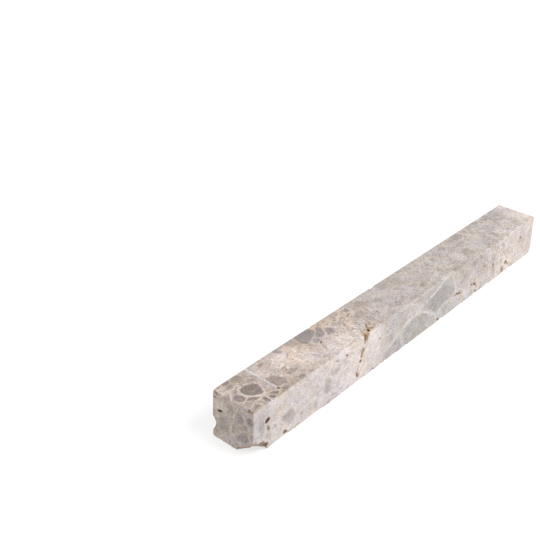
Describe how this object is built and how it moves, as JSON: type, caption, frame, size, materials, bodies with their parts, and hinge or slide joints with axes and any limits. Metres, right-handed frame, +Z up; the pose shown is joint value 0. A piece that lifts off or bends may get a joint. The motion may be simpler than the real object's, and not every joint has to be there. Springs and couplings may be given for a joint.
{
  "type": "marble rod",
  "caption": "Long square-section rod of sawn grey brecciated marble with chipped edges, lying flat; a blank for cutting mosaic pieces.",
  "frame": {"origin": "centre of the bounding box of the rod at the level of the face it rests on", "axes": "+X along the rod from its near, broken-cornered end to its far end; +Z up, out of the top face; the front face, with the open seam, faces -Y"},
  "size_m": [0.1696, 0.0162, 0.015],
  "materials": {
    "marble": "sawn, unpolished grey brecciated marble with cream and tan veins, darker clasts and brown open pits"
  },
  "bodies": {
    "root": {"marble_rod": "marble"}
  },
  "joints": []
}
